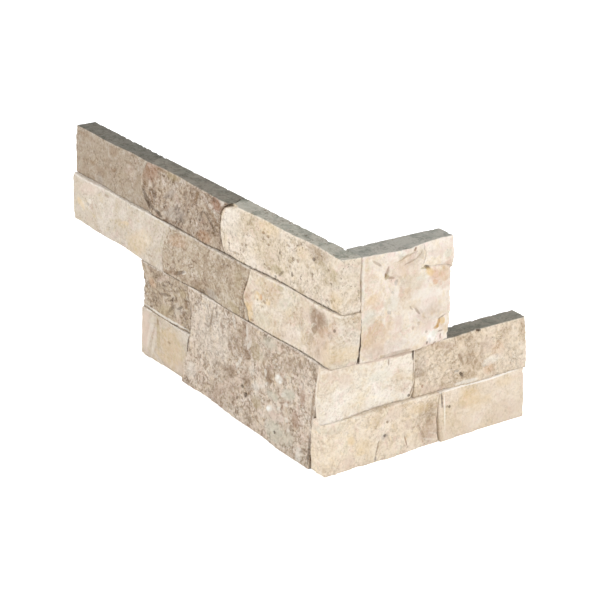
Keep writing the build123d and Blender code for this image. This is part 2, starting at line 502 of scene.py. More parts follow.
# Coloured patches on the split faces: place along the leg, height, half length, half width, turn in degrees,
# name of the colour and strength
PATCHES = {
    "top_course_end_stone": (
        (-290, 118, 4, 6, 0, "pale_grey", 0.5),
        (-287, 125, 8, 4, 0, "umber", 0.45),
        (-302, 128, 4, 2, 0, "umber", 0.5),
        (-312, 128, 4, 1.2, 0, "umber", 0.35),
        (-269, 147, 6, 4, 0, "umber", 0.45),
        (-268, 132, 4, 1.5, 20, "umber", 0.4),
        (-248, 144, 5, 1.6, 0, "umber", 0.45),
        (-314, 148, 10, 1.8, 0, "umber", 0.3),
        (-281, 130, 2, 1.5, 0, "umber", 0.4),
        (-234, 133, 8, 4, 60, "umber", 0.25),
        (-245, 138, 7, 5, 0, "mauve", 0.3),
    ),
    "top_course_middle_stone": (
        (-216, 147, 9, 7, -20, "russet", 0.55),
        # Painted light: lightens the shaded corner next to the top corner stone
        (-121, 151, 4, 2.0, -20, "calcite", 0.6),
        (-222, 141, 4, 9, 0, "umber", 0.5),
        (-203, 151, 6, 2, 0, "umber", 0.5),
        # Painted shadow along the rolled-back left end of the stone
        (-219, 124, 10, 2.4, -45, "pit", 0.7),
        (-211, 121, 8, 1.6, -15, "pit", 0.6),
        (-200, 118.5, 5, 1.4, -20, "pit", 0.75),
        (-213, 128, 5, 1.4, -45, "umber", 0.6),
        (-188, 150, 9, 3, 0, "olive", 0.6),
        (-180, 124, 14, 5, 10, "pale_grey", 0.5),
        (-190, 136, 8, 3, 30, "pale_grey", 0.4),
        (-181, 129, 3, 1.4, 60, "pit", 0.5),
        (-170, 122, 4, 1.6, 0, "pit", 0.5),
        (-146, 133, 5, 1.4, 70, "pit", 0.5),
        (-154, 145, 6, 2, 60, "umber", 0.6),
        (-132, 137, 14, 1.4, -32, "umber", 0.5),
        (-136, 133, 11, 1.0, -38, "pit", 0.5),
        (-127, 147.5, 8, 5, 0, "russet", 0.7),
        (-131, 150, 4, 1.4, 0, "pit", 0.5),
        (-140, 120, 9, 4, 0, "rust", 0.25),
        (-121, 128, 2, 9, 10, "pit", 0.4),
    ),
    "top_course_corner_stone": (
        (-12, 147, 12, 6, 0, "umber", 0.45),
        (-5, 141, 7, 3, -10, "olive", 0.5),
        (-16, 142.5, 1.6, 1.3, 0, "pit", 0.8),
        (-55, 122, 9, 3, 0, "olive", 0.75),
        (-50, 121, 4, 1.0, 45, "pit", 0.5),
        (-37, 125, 1.3, 2.0, 0, "pit", 0.65),
        (-73.5, 143, 1.6, 1.2, 0, "umber", 0.8),
        (-68, 142, 1.6, 1.0, 0, "umber", 0.7),
        (-53, 135, 1.2, 1.3, 0, "pit", 0.7),
        (-67, 136.5, 1.2, 1.0, 0, "umber", 0.7),
        (-43, 143.5, 2.0, 1.0, 0, "umber", 0.6),
        (-32, 136, 1.6, 1.2, 0, "umber", 0.6),
        (-64, 120, 2.0, 1.2, 0, "umber", 0.7),
        (-56, 117, 1.4, 1.0, 0, "pit", 0.6),
        (-94, 128.5, 1.6, 1.2, 0, "umber", 0.5),
        (-101, 120, 5, 1.0, 5, "umber", 0.5),
        (6, 132.5, 1.3, 1.0, 0, "pit", 0.7),
        (2, 141, 1.2, 0.9, 0, "pit", 0.5),
        (-68, 148, 12, 5, 0, "ochre", 0.35),
        (-27, 143, 8, 4, 0, "ochre", 0.3),
        (10, 137, 5, 6, 0, "olive", 0.4),
        (12, 122, 6, 7, 0, "ochre", 0.35),
        # Painted highlight on the rounded left end of the stone
        (-108, 140, 12, 10, 0, "white", 0.2),
    ),
    "upper_course_end_stone": (
        (-297, 99, 2.4, 2.0, 0, "calcite", 0.5),
        (-300, 96, 2.4, 1.3, 0, "pale_grey", 0.7),
        (-303, 103, 2, 0.9, 0, "umber", 0.5),
        (-274, 110, 3, 1.2, 0, "umber", 0.45),
        (-312, 93, 7, 3, -20, "ochre", 0.5),
        (-300, 108, 14, 5, 15, "mauve", 0.45),
        (-318, 84, 6, 8, 0, "olive", 0.2),
        (-225, 88, 18, 9, 30, "ochre", 0.3),
        (-246, 97, 7, 1.6, 15, "ochre", 0.3),
    ),
    "upper_course_middle_stone": (
        (-172, 106, 11, 5, 10, "rust", 0.22),
        (-190, 108, 5, 2, 20, "umber", 0.6),
        (-194, 95, 2, 9, 0, "umber", 0.5),
        (-194, 83, 2, 4, 0, "pit", 0.5),
        (-162, 85, 3, 1.4, 30, "calcite", 0.6),
        (-168, 83, 8, 1.4, 25, "pit", 0.6),
        (-178, 80, 9, 2, 15, "umber", 0.5),
        (-147, 81, 6, 3, 0, "umber", 0.6),
        (-139, 78, 4, 1.6, 0, "pit", 0.5),
        (-126, 80, 8, 4, 0, "pale_grey", 0.6),
        (-127, 93, 1.6, 1.3, 0, "umber", 0.6),
        (-117, 104, 7, 1.6, 25, "umber", 0.35),
        (-95, 103, 4, 8, 0, "olive", 0.4),
        (-96, 81, 8, 3, -15, "olive", 0.6),
        (-92, 111, 3, 3, 0, "umber", 0.5),
        (-104, 96, 2, 10, 10, "umber", 0.3),
    ),
    "upper_course_corner_stone": (
        (-72, 97.5, 4.5, 3.4, 0, "ochre", 0.6),
        (-73, 97, 2.0, 1.4, 0, "calcite", 0.5),
        (-67.5, 98.5, 1.6, 2.2, 0, "rust", 0.7),
        (-72, 95, 1.0, 0.8, 0, "pit", 0.5),
        (-62, 97, 2.4, 1.2, 0, "umber", 0.5),
        (-58, 98, 3, 2.4, 0, "ochre", 0.5),
        (-78, 84, 3, 8, 0, "ochre", 0.5),
        (-83, 87, 4, 3, 0, "ochre", 0.5),
        (-75, 79, 2.4, 1.0, 10, "umber", 0.6),
        (-3, 105, 8.5, 6.5, 0, "umber", 0.75),
        (-5, 97, 3.4, 3, 0, "umber", 0.7),
        (-15, 104, 5, 5, 0, "mauve", 0.5),
        (-40, 103, 8, 4, 30, "pale_green", 0.35),
        (-62, 84, 10, 5, 0, "pale_green", 0.35),
        (-48, 111, 4, 2, 0, "olive", 0.45),
        (17, 104, 1.1, 1.2, 0, "pit", 0.6),
        (1, 90, 0.9, 1.8, 0, "umber", 0.5),
        (6, 95, 8, 10, 0, "rust", 0.12),
        (14, 86, 8, 7, 0, "ochre", 0.35),
        (4, 86, 12, 8, 0, "mauve", 0.45),
        (12, 96, 7, 6, 0, "mauve", 0.35),
        (-32, 84, 11, 6, -10, "mauve", 0.4),
        (4, 106, 6, 5, 0, "umber", 0.5),
        (-9, 107, 5, 5, 0, "umber", 0.4),
        (3, 99, 5, 4, 0, "russet", 0.3),
        (-8, 90, 4, 3, 30, "umber", 0.35),
        (2, 84, 3, 4, 0, "umber", 0.3),
        (10, 92, 3, 3, 0, "umber", 0.3),
        (-20, 94, 3, 5, 30, "umber", 0.3),
        (14, 100, 2.6, 3, 0, "umber", 0.35),
    ),
    "lower_course_end_stone": (
        (-206, 62, 5, 4, 0, "rust", 0.3),
        (-166, 67, 5, 4, 0, "olive", 0.5),
        (-188, 46, 12, 4, 20, "olive", 0.5),
        (-172, 51, 5, 5, 0, "calcite", 0.25),
        (-170, 54, 4, 1.2, 30, "pit", 0.6),
        (-180, 50, 7, 1.2, 45, "pit", 0.4),
        (-190, 58, 8, 1.3, 10, "pit", 0.5),
        (-192, 70, 8, 2, 30, "mauve", 0.5),
        (-170, 43, 3, 5, 20, "mauve", 0.5),
        (-162, 60, 2, 4, 0, "umber", 0.6),
        (-188, 40.5, 32, 1.0, 0, "calcite", 0.75),
        # Painted shadow of the joint gap to the tall rough block, with dirt in the joint
        (-154.3, 52, 1.5, 11, 0, "pit", 0.95),
        (-155.6, 62, 1.3, 5, 30, "umber", 0.7),
    ),
    "bottom_course_end_stone": (
        (-215, 20, 5, 18, 0, "mauve", 0.8),
        (-209, 22, 2.4, 15, -12, "calcite", 0.35),
        (-199, 25, 2.4, 15, 6, "olive", 0.5),
        (-204, 14, 2, 12, -8, "calcite", 0.3),
        (-168, 8, 9, 5, 20, "mauve", 0.4),
        (-165, 32, 7, 4, 0, "calcite", 0.3),
        (-200, 32, 1.2, 3, 0, "umber", 0.6),
        (-180, 20, 18, 13, 0, "ochre", 0.3),
        (-173, 26, 5, 3, 0, "olive", 0.3),
        (-184, 21, 2.4, 1.0, 0, "umber", 0.55),
        (-187, 6, 14, 3, -10, "ochre", 0.25),
        # Painted shadow of the joint gap to the tall rough block, with dirt in the joint
        (-156, 30, 1.3, 8, -6, "pit", 0.8),
    ),
    "long_leg_double_block": (
        (-38, 49, 4.0, 3.2, 0, "calcite", 0.8),
        (-39, 50, 1.8, 1.3, 30, "white", 0.6),
        (-36, 47.2, 1.5, 1.1, 0, "white", 0.55),
        (-45, 24.5, 4.2, 2.4, 25, "calcite", 0.9),
        (-45.6, 24.4, 2.6, 1.3, 25, "white", 0.7),
        (-31, 40, 3.0, 1.6, 20, "calcite", 0.7),
        (-27, 34, 2.2, 1.7, 0, "calcite", 0.6),
        (-34, 29, 1.8, 1.3, 40, "calcite", 0.6),
        (-24, 24, 2.2, 1.6, 0, "calcite", 0.6),
        (-50, 41, 3.0, 1.3, 30, "calcite", 0.6),
        (-53, 48, 1.6, 2.8, 20, "calcite", 0.6),
        (-20, 18, 1.6, 1.4, 0, "calcite", 0.6),
        (-57, 36, 2.2, 1.6, 0, "calcite", 0.5),
        (-25, 42, 7, 4, 20, "pale_green", 0.7),
        (-43, 35, 7, 3.4, 0, "pale_green", 0.6),
        (-64, 33, 4, 3.4, 0, "calcite", 0.6),
        (-72, 42, 4, 3, 0, "calcite", 0.55),
        (-52, 70, 8, 4, 0, "pale_green", 0.5),
        (-61, 57, 3, 4, 0, "pale_green", 0.4),
        (-35, 11, 12, 8, 0, "pale_green", 0.6),
        (-18, 12, 5, 5, 0, "pale_green", 0.5),
        (-6, 5, 3, 6, 0, "calcite", 0.7),
        (-38, 22, 6, 3, 0, "mauve", 0.7),
        (-148, 14, 6, 6, 0, "calcite", 0.45),
        (-77, 21.5, 2.0, 1.7, 0, "pit", 1.0),
        (-82, 26, 1.6, 1.3, 0, "pit", 0.8),
        (-35, 10.5, 1.4, 1.0, 0, "pit", 0.8),
        (-86, 16, 1.0, 0.8, 0, "pit", 0.7),
        (-96, 32, 5, 4, 30, "umber", 0.65),
        (-75, 30, 7, 6, 0, "umber", 0.5),
        (-62, 22, 6, 5, 0, "olive", 0.6),
        (-68, 58, 6, 8, 0, "olive", 0.6),
        (-79, 52, 4, 5, 30, "umber", 0.55),
        (-84, 68, 3, 8, 0, "umber", 0.5),
        (-48, 46, 3.5, 6, 0, "umber", 0.75),
        (-80, 68, 1.7, 5.5, 5, "calcite", 0.8),
        (-76, 60, 1.8, 5, -35, "calcite", 0.8),
        (-108, 32, 8, 2, 0, "umber", 0.5),
        (-9, 47, 3, 6, 0, "russet", 0.6),
        (-14, 27, 4, 6, 20, "russet", 0.5),
        (-17, 67, 3, 3, 0, "umber", 0.4),
        # Painted shadow of the joint gap to the end stones, with dirt in the joint
        (-154.3, 50, 1.4, 11, 0, "pit", 0.9),
        (-155.8, 30, 1.3, 8, -6, "pit", 0.8),
        # Painted shadow in the gap at the right end
        (3.5, 45, 1.4, 14, 0, "umber", 0.5),
        (4.6, 14, 1.2, 12, 0, "pit", 0.6),
        (-124, 50, 26, 24, -30, "calcite", 0.25),
        (-84, 60, 20, 13, 35, "umber", 0.28),
        (-106, 8, 22, 9, 30, "umber", 0.22),
        (-98, 70, 1.6, 6, 20, "calcite", 0.55),
        (-88, 42, 1.8, 7, -30, "calcite", 0.5),
        (-112, 60, 1.5, 6, 15, "umber", 0.45),
        (-54, 60, 2.4, 8, -30, "umber", 0.4),
        (-30, 62, 8, 6, 30, "umber", 0.3),
        (-100, 50, 1.4, 7, 35, "umber", 0.45),
        (-125, 60, 1.0, 12, -10, "umber", 0.35),
        (-100, 20, 26, 4, 35, "mauve", 0.3),
    ),
    "short_leg_double_block": (
        # The umber strokes of the hook are painted shadow in its crevice; the olive is its colour
        (20.8, 138, 1.0, 4.5, -10, "umber", 0.5),
        (20.6, 134.5, 2.2, 1.6, 20, "olive", 0.8),
        (20.0, 135.5, 1.0, 1.4, 0, "umber", 0.6),
        (25.5, 132.6, 4.5, 1.0, -15, "umber", 0.6),
        (30, 128.5, 1.6, 2.4, -15, "pale_grey", 0.6),
        # Painted shadow at the top of the hollow
        (56.8, 133.8, 3.8, 1.3, -32, "pit", 0.85),
        (53.5, 134.5, 3.0, 1.0, 0, "olive", 0.7),
        (59.5, 130, 4, 2.6, -35, "ochre", 0.85),
        (65.5, 126.5, 6.0, 3.4, 0, "rust", 0.4),
        (64.8, 121.8, 2.4, 1.8, 0, "rust", 0.75),
        (73, 125, 4, 4, 0, "rust", 0.15),
        (27, 122, 1.1, 0.8, -30, "pit", 0.5),
        (23.5, 109, 2.0, 1.2, -40, "pale_grey", 0.6),
        (44, 107.3, 3, 0.8, -42, "umber", 0.7),
        (50.3, 103.2, 3.6, 0.9, -50, "umber", 0.75),
        (50, 95, 1.6, 1.4, 0, "umber", 0.35),
        (45.5, 92.5, 1.3, 1.2, 0, "umber", 0.35),
        (57.5, 87.5, 1.2, 1.0, 0, "umber", 0.4),
        (69, 91, 3.6, 2.0, 60, "amber", 0.9),
        (67, 88.5, 2.4, 1.4, 10, "amber", 0.7),
        (73, 91.5, 2.0, 3.0, 0, "ochre", 0.8),
        (71.5, 95, 3.4, 0.9, 15, "umber", 0.6),
        (71.5, 84.5, 2.4, 0.8, 0, "umber", 0.6),
        (72.3, 80, 0.9, 2.6, 0, "umber", 0.6),
        (63, 82, 4.4, 4.4, 0, "white", 0.6),
        (64.5, 84, 2.0, 2.4, -30, "pale_green", 0.5),
        (61, 80, 1.0, 2.6, 20, "pale_grey", 0.35),
        (58.6, 79, 0.9, 1.3, 0, "pit", 0.6),
        (66.5, 76.8, 1.6, 0.9, 0, "umber", 0.7),
        (32, 101.5, 4, 4, 0, "mauve", 0.75),
        (58, 92, 8, 4, 0, "mauve", 0.5),
        (9, 121, 6, 4, 0, "ochre", 0.4),
        (14, 115, 5, 5, 0, "rust", 0.2),
        (8, 108, 5, 6, 0, "pale_green", 0.5),
        (25, 115, 7, 5, 0, "pale_green", 0.45),
        (66, 144, 9, 3, 10, "mauve", 0.5),
        (36, 137, 9, 5, 25, "mauve", 0.5),
        (44, 126, 12, 5, -15, "pale_green", 0.3),
        (40, 84, 14, 5, 10, "calcite", 0.35),
        (74, 141, 3, 3, 0, "pale_green", 0.5),
        (50, 146, 3, 4, 0, "olive", 0.3),
        (53, 128, 5, 3, 0, "pale_green", 0.35),
        (44, 150, 1.0, 1.6, -20, "umber", 0.8),
        (37, 145.8, 8, 1.0, 14, "umber", 0.4),
        (12, 146, 5, 1.0, -35, "umber", 0.45),
        # Painted shadow in the joint gap to the upper corner stone
        (0.4, 94, 0.8, 18, 0, "pit", 0.9),
        (50, 112, 20, 12, 30, "calcite", 0.3),
        (24, 92, 14, 9, 40, "mauve", 0.35),
        (58, 106, 12, 8, 0, "mauve", 0.3),
        (14, 84, 12, 5, 0, "mauve", 0.35),
        # Painted shade along the lower edge, above the lower corner stone
        (30, 77.5, 14, 1.8, 2, "umber", 0.4),
        # Painted light over the shaded groove at the joint with the top corner stone's head
        (1.4, 132, 1.2, 20, 0, "calcite", 0.35),
        # Painted shadow in the joint gap to the upper corner stone, a second time
        (0.4, 94, 0.9, 18, 0, "pit", 0.85),
        (60, 100, 14, 6, 10, "umber", 0.16),
        (22, 82, 18, 4.5, 5, "umber", 0.14),
        (44, 143, 8, 4, 20, "umber", 0.18),
        (53, 149, 0.7, 3.5, 15, "umber", 0.4),
        (53.5, 141.5, 0.7, 5, -15, "umber", 0.35),
        (41, 141.5, 5.5, 0.7, 15, "umber", 0.4),
        (48.5, 144.8, 3.5, 0.7, 40, "umber", 0.35),
        (29, 119, 4, 9, 0, "calcite", 0.6),
        (56, 115, 14, 4, -5, "calcite", 0.5),
        (4, 105, 3, 7, 0, "pale_green", 0.4),
    ),
    "lower_course_corner_stone": (
        (18, 75.5, 32, 1.9, -4, "mauve", 0.9),
        (40, 74.5, 14, 2.0, -2, "umber", 0.3),
        (-10, 66, 6, 5, 0, "mauve", 0.45),
        (-12, 57, 10, 2, 20, "umber", 0.12),
        (20, 62, 9, 4, 0, "pale_green", 0.35),
        (27.5, 70.5, 0.8, 2.4, 0, "umber", 0.6),
        (-20, 74, 8, 4, 0, "mauve", 0.35),
        (49.4, 72, 1.1, 5, 0, "pit", 0.95),
        (50.2, 59, 0.8, 9, 0, "umber", 0.6),
        (47.3, 41, 1.4, 1.2, 0, "pit", 0.9),
        (49.6, 44.5, 0.9, 4, -20, "umber", 0.8),
        (3, 50, 12, 6, 0, "ochre", 0.12),
    ),
    "lower_course_return_stone": (
        (56, 66, 5, 12, 0, "pale_grey", 0.25),
        (100, 61, 9, 9, 0, "umber", 0.22),
        (117, 63, 6, 6, 0, "mauve", 0.5),
        (127, 57, 6, 6, -20, "rust", 0.25),
        (118, 45.5, 5, 4, 0, "rust", 0.35),
        (112, 57, 2, 6, 0, "umber", 0.25),
        (92.5, 47, 2.4, 1.1, -45, "pit", 0.8),
        (88, 50.5, 2.2, 1.0, 0, "pale_grey", 0.7),
        (59, 45.3, 1.5, 1.3, 0, "russet", 0.8),
        (55, 56, 6, 3, 0, "umber", 0.4),
        (60, 52, 4, 4, 0, "umber", 0.3),
        (76, 72, 11, 3, -15, "russet", 0.4),
        (80, 66, 4, 1.4, 30, "umber", 0.4),
        (67, 76, 2.4, 1.4, 0, "russet", 0.5),
        (92, 58, 1.2, 5, 30, "umber", 0.5),
        (66, 42, 12, 3, -10, "mauve", 0.4),
        (109, 75.8, 2.6, 1.5, -30, "pit", 1.0),
        (51, 60, 0.9, 16, 0, "umber", 0.4),
        (120, 51, 9, 3, 10, "white", 0.35),
        (97, 40.5, 10, 1.6, 0, "white", 0.45),
    ),
    "bottom_course_corner_stone": (
        (63, 25, 9, 8, 20, "umber", 0.35),
        (65, 10, 8, 8, -20, "russet", 0.42),
        (58, 12, 1.0, 9, 28, "umber", 0.4),
        (55, 30, 8, 4, 0, "ochre", 0.35),
        (66, 4, 6, 0.9, -18, "calcite", 0.45),
        (69, 8, 4, 0.8, -20, "calcite", 0.35),
        (24.4, 18, 1.3, 1.1, 0, "pit", 1.0),
        (24, 18, 3, 2.6, 0, "pale_grey", 0.45),
        (26.5, 27.5, 1.1, 1.0, 0, "umber", 0.7),
        (18, 10, 0.8, 6.5, -14, "umber", 0.55),
        (16.5, 3, 1.0, 1.8, 0, "pit", 0.6),
        (43.5, 9, 0.6, 5, 18, "russet", 0.7),
        (-4, 21, 3, 3.4, 0, "ochre", 0.55),
        (-20, 33, 9, 3, 0, "pale_green", 0.4),
        (-5, 6, 5, 5, 0, "mauve", 0.5),
        (32, 31, 9, 4, 0, "mauve", 0.45),
        (46, 21, 3, 4, 0, "mauve", 0.5),
        (5, 14, 8, 6, 0, "ochre", 0.25),
        (73.6, 31, 1.3, 7, 4, "pit", 0.95),
        (73.6, 12, 0.9, 12, 5, "pit", 0.8),
    ),
    "bottom_course_return_stone": (
        (82.5, 25, 1.2, 1.0, 0, "pit", 0.85),
        # Painted highlight along the upper edge, like the rim
        (115, 37.8, 42, 0.8, 0, "white", 0.75),
        (79.5, 26, 1.6, 0.7, 0, "umber", 0.5),
        (101, 27, 10, 7, 0, "ochre", 0.5),
        (94, 23, 4, 3, 0, "olive", 0.3),
        (112, 20, 12, 4, 25, "ochre", 0.25),
        (140, 12, 12, 5, -25, "mauve", 0.35),
        (135, 32, 10, 3, 0, "ochre", 0.25),
        (127, 7, 6, 4, 0, "mauve", 0.3),
        # Painted highlight along the left edge
        (77.6, 23, 0.6, 13, 2, "white", 0.6),
        (74.8, 32, 0.9, 6, 4, "pit", 0.8),
    ),
}

# Hollows in the split faces: place along the leg, height, half length, half width, turn in degrees and depth
HOLLOWS = {
    "top_course_middle_stone": ((-118, 154, 7, 3.5, 0, 3.0),),
    "top_course_corner_stone": ((-117, 154, 12, 6, 0, 5.0),),
    "short_leg_double_block": (
        (56.8, 133.8, 4.0, 1.4, -32, 1.6),
        (20.8, 138, 1.0, 4.5, -10, 0.8),
        (20.3, 135.5, 2.0, 2.0, 0, 0.8),
        (26, 132.6, 4.5, 1.0, -20, 0.6),
        (30, 128.5, 1.7, 2.2, 0, 0.8),
        (71.5, 91, 2.5, 4.0, 0, 1.0),
        (27, 122, 1.2, 1.0, -30, 0.7),
        (48, 105, 6, 0.9, -45, 0.6),
        (44, 150, 1.2, 1.8, 0, 0.7),
        (63, 82, 3.0, 3.0, 0, -0.4),
        (34, 153, 9, 6, 0, -2.4),
    ),
    "upper_course_corner_stone": ((17, 104, 1.4, 1.4, 0, 0.9), (-71, 97, 6, 4, 0, 0.4)),
    "long_leg_double_block": (
        (-77, 21.5, 2.2, 1.8, 0, 1.6),
        (-35, 10.5, 1.4, 1.2, 0, 1.0),
        (-82, 26, 1.6, 1.4, 0, 0.9),
    ),
    "lower_course_return_stone": (
        (92.5, 47, 2.6, 1.2, -45, 1.1),
        (59, 45.3, 1.5, 1.4, 0, 0.8),
        (109, 76, 2.4, 2.4, 0, 4.0),
    ),
    "bottom_course_corner_stone": (
        (24.4, 18, 1.4, 1.2, 0, 1.1),
        (26.5, 27.5, 1.2, 1.0, 0, 0.7),
        (18, 10, 0.9, 6.5, -14, 0.6),
        (43.5, 9, 0.8, 5, 18, 0.4),
    ),
    "bottom_course_return_stone": ((82.5, 25, 1.3, 1.1, 0, 0.9),),
    "lower_course_corner_stone": ((50, 39.5, 4, 3, 45, 1.8),),
}

# Scars, where a shell has come off: place along the leg, height, half length, half width, turn in degrees and
# depth. The upper rim of a scar is its steep one.
SCARS = {
    "short_leg_double_block": (
        (67, 128.5, 14, 5.5, -8, 1.8),
        (60, 150, 13, 8, -6, 1.6),
        (36, 139, 14, 8, 20, 0.9),
        (27, 126, 9, 8, -35, 0.9),
        (48, 100, 10, 6, -40, 0.7),
        (12, 100, 11, 9, 60, 0.8),
        (36, 86, 16, 8, 15, 0.8),
        (10, 132, 9, 12, 10, 0.6),
        (56, 116, 12, 8, 40, 0.5),
    ),
    "upper_course_corner_stone": (
        (-70, 92, 12, 9, 60, 0.8),
        (-8, 96, 11, 8, -50, 0.8),
        (-40, 88, 16, 9, 20, 0.5),
    ),
    "bottom_course_corner_stone": (
        (8, 10, 12, 7, 60, 0.7),
        (63, 12, 14, 11, -50, 0.9),
        (-10, 22, 10, 8, -30, 0.5),
    ),
    "top_course_middle_stone": (
        (-212, 130, 13, 10, 60, 0.9),
        (-130, 132, 13, 8, -45, 0.9),
        (-170, 130, 16, 9, 20, 0.6),
    ),
    "top_course_corner_stone": (
        (-12, 140, 14, 8, -20, 0.7),
        (-55, 124, 14, 6, 10, 0.5),
        (-90, 130, 16, 9, 15, 0.4),
    ),
    "long_leg_double_block": (
        (-110, 45, 20, 13, 60, 0.8),
        (-62, 50, 18, 13, 50, 0.9),
        (-20, 30, 16, 12, 65, 0.8),
        (-90, 20, 20, 11, 30, 0.7),
    ),
    "lower_course_end_stone": ((-190, 54, 15, 9, 40, 0.8), (-168, 60, 10, 8, 60, 0.6)),
    "bottom_course_end_stone": ((-182, 18, 20, 15, 40, 0.4), (-205, 20, 14, 9, 70, 0.35)),
    "lower_course_return_stone": (
        (72, 58, 14, 10, 60, 0.6),
        (108, 56, 14, 9, -20, 0.7),
        (132, 58, 12, 9, 20, 0.5),
    ),
    "upper_course_end_stone": ((-300, 96, 16, 9, 30, 0.4), (-240, 92, 24, 10, 15, 0.35)),
    "upper_course_middle_stone": ((-172, 92, 18, 9, 25, 0.6), (-115, 92, 16, 10, 15, 0.5)),
    "top_course_end_stone": ((-300, 130, 16, 9, 20, 0.4), (-255, 134, 20, 9, 10, 0.35)),
    "bottom_course_return_stone": ((102, 20, 18, 10, 10, 0.35),),
    "lower_course_corner_stone": ((10, 56, 20, 11, 15, 0.35),),
}

# Points closer than this are one point, in metres
SAME_POINT = 0.000001

# How a stone's seed moves its patterns along x, y and z
SEED_WAY = (1.0, 0.7, 1.3)

# Steps of the shells in their noise, and how far a split face lies over its plane, in millimetres
STEPS_OF_FLAKES = 2.4
FACE_LIFT = 0.2

# How far from an end or a bed its own form reaches, in millimetres
ROLL_REACH = 3.0
JOINT_REACH = 18.0
TORN_REACH = 8.0
BED_REACH = 4.0
WORN_BED = (0.0, 5.0)

# How far either neighbour comes into a glue line on the split side, in millimetres
GLUE_REACH = 0.11

# Beds over the first height and under the second one are glued to another stone, in millimetres
FLOOR_BED = 1.0
TOP_BED = 150.0

# Depths in front of the sawn back, in millimetres: where something starts and where it is there in full
LIFTED = (1.5, 11.0)
SHIFTED = (3.0, 14.0)
GLUED = (6.0, 12.0)
SPLIT_SIDE = (9.0, 13.0)
HEAD_LIFTED = {"long": (2.0, 13.0), "short": (4.0, 20.0)}
HEAD_SPLIT_SIDE = (10.0, 14.0)

# Parts of a normal: where a face starts to point out of its leg, and where it no longer points up
FACING_OUT = (0.5, 0.8)
FACING_UP = (0.6, 0.3)

# Millimetres that keep the relief of a head from repeating that of the face
HEAD_AWAY = 300.0

# Upright corner of a head: where it is rounded, in millimetres from its edge, and how often it is smoothed
SOFT_CORNER = (10.0, 4.0)
SOFT_TURNS = 30

# Chips: depths in front of the back at which the front and the back edge are chipped, distance from the bed,
# and strength on the front edge of a dark top, on other front edges and on back edges
CHIPPED_FRONT = (7.0, 11.0)
CHIPPED_BACK = (2.8, 0.5)
CHIPPED_BED = (2.6, 0.2)
CHIPS_OF_TOP = 0.9
CHIPS_OF_BED = 0.2
CHIPS_OF_BACK = 1.6

# Tints that the split faces are multiplied by
HONEY = (1.0, 0.96, 0.86)
ROSE = (0.98, 0.89, 0.90)
GREEN_GREY = (0.91, 0.96, 0.93)
CRYSTAL_EDGE = (0.5, 0.45, 0.4)
BLOT_SHADE = (0.6, 0.55, 0.5)
VEIN_SHADE = (0.52, 0.44, 0.37)
GRAIN_SHADE = (0.40, 0.36, 0.32)

# Sawn faces: share of the stone's own colour, grey over it, lightness, and tints for dust and for tone
SAWN_OWN = (0.66, 0.71, 0.74)
SAWN_GREY = (0.25, 0.24, 0.205)
SAWN_LIGHT = 1.15
DUST_SHADE = (0.70, 0.75, 0.74)
SAWN_SHADE = (0.4, 0.4, 0.38)

# Shares of the way to white, for the light parts of a stone and for its rim, a painted highlight
LIGHT_SHARE = 0.3
HIGHLIGHT_RIM_SHARE = 0.4

# Fading, in millimetres from the edge, of the painted highlight, the painted shadow and the darker top
HIGHLIGHT_RIM_FADE = (1.6, 0.5)
EDGE_SHADOW_FADE = (1.6, 0.8)
TOP_SHADE_FADE = (2.5, 0.5)

# Width of the crystals, and the half width under which a patch is small, in millimetres
CRYSTAL_WIDTH = 2.2
SMALL_MARK = 2.5
CRISP_STAINS = ("white", "amber")

# Surface: reflection, roughness, and strength and height of its tooth, in millimetres
SHEEN = 0.25
MATT = 0.86
BUMP_STRENGTH = 0.7
BUMP_HEIGHT = 0.4


def short_name(node):
    """Name of a stone in the colour settings."""
    for word in ("_course", "_stone", "_block", "_leg"):
        node = node.replace(word, "")
    return node


def deselect_all():
    """Nothing selected and nothing active."""
    bpy.ops.object.select_all(action="DESELECT")
    bpy.context.view_layer.objects.active = None


def make_active(piece):
    """Only this piece selected."""
    deselect_all()
    piece.select_set(True)
    bpy.context.view_layer.objects.active = piece


def apply_modifier(piece, modifier):
    """Make the result of a modifier the piece's own mesh."""
    make_active(piece)
    bpy.ops.object.modifier_apply(modifier=modifier.name)


def blank_of(node, step):
    """Close-meshed copy of a stone's sawn and split blank."""
    deselect_all()
    piece = bpy.data.objects.new(node + "_looks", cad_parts[node].data.copy())
    piece.data.materials.clear()
    bpy.context.scene.collection.objects.link(piece)
    make_active(piece)
    bpy.ops.object.mode_set(mode="EDIT")
    bpy.ops.mesh.select_all(action="SELECT")
    bpy.ops.mesh.remove_doubles(threshold=SAME_POINT)
    bpy.ops.object.mode_set(mode="OBJECT")
    remesh = piece.modifiers.new("close_mesh", "REMESH")
    remesh.mode = "VOXEL"
    remesh.voxel_size = step
    remesh.use_smooth_shade = True
    apply_modifier(piece, remesh)
    return piece


def on_face(graph, leg, place):
    """Place along the leg, in front of its back and over the floor."""
    x, y, z = graph.split(place)
    return (x, y * -1.0, z) if leg == "long" else (y, x, z)


def on_space(graph, leg, along, out):
    """Move in metres, from a move along a leg and one out of its face, in millimetres."""
    if leg == "long":
        return graph.join(along * MM, out * -MM, 0.0)
    return graph.join(out * MM, along * MM, 0.0)


def seeded_place(graph, stone, place):
    """Place moved so far that the stone's patterns differ from the other stones' ones."""
    return graph.sum_of(place, tuple(stone.seed * share for share in SEED_WAY))


def oval(graph, along, height, outline, ragged):
    """How far a point lies from the middle of a mark on a split face, where 1 is the mark's edge, and how far
    it lies over the mark's long line."""
    middle, level, long_half, wide_half, turn = outline
    turned = math.radians(turn)
    run = along - middle
    rise = height - level
    over_long = (run * math.cos(turned) + rise * math.sin(turned)) * (1 / long_half)
    over_wide = (rise * math.cos(turned) - run * math.sin(turned)) * (1 / wide_half)
    return over_long * over_long + over_wide * over_wide + ragged, over_wide


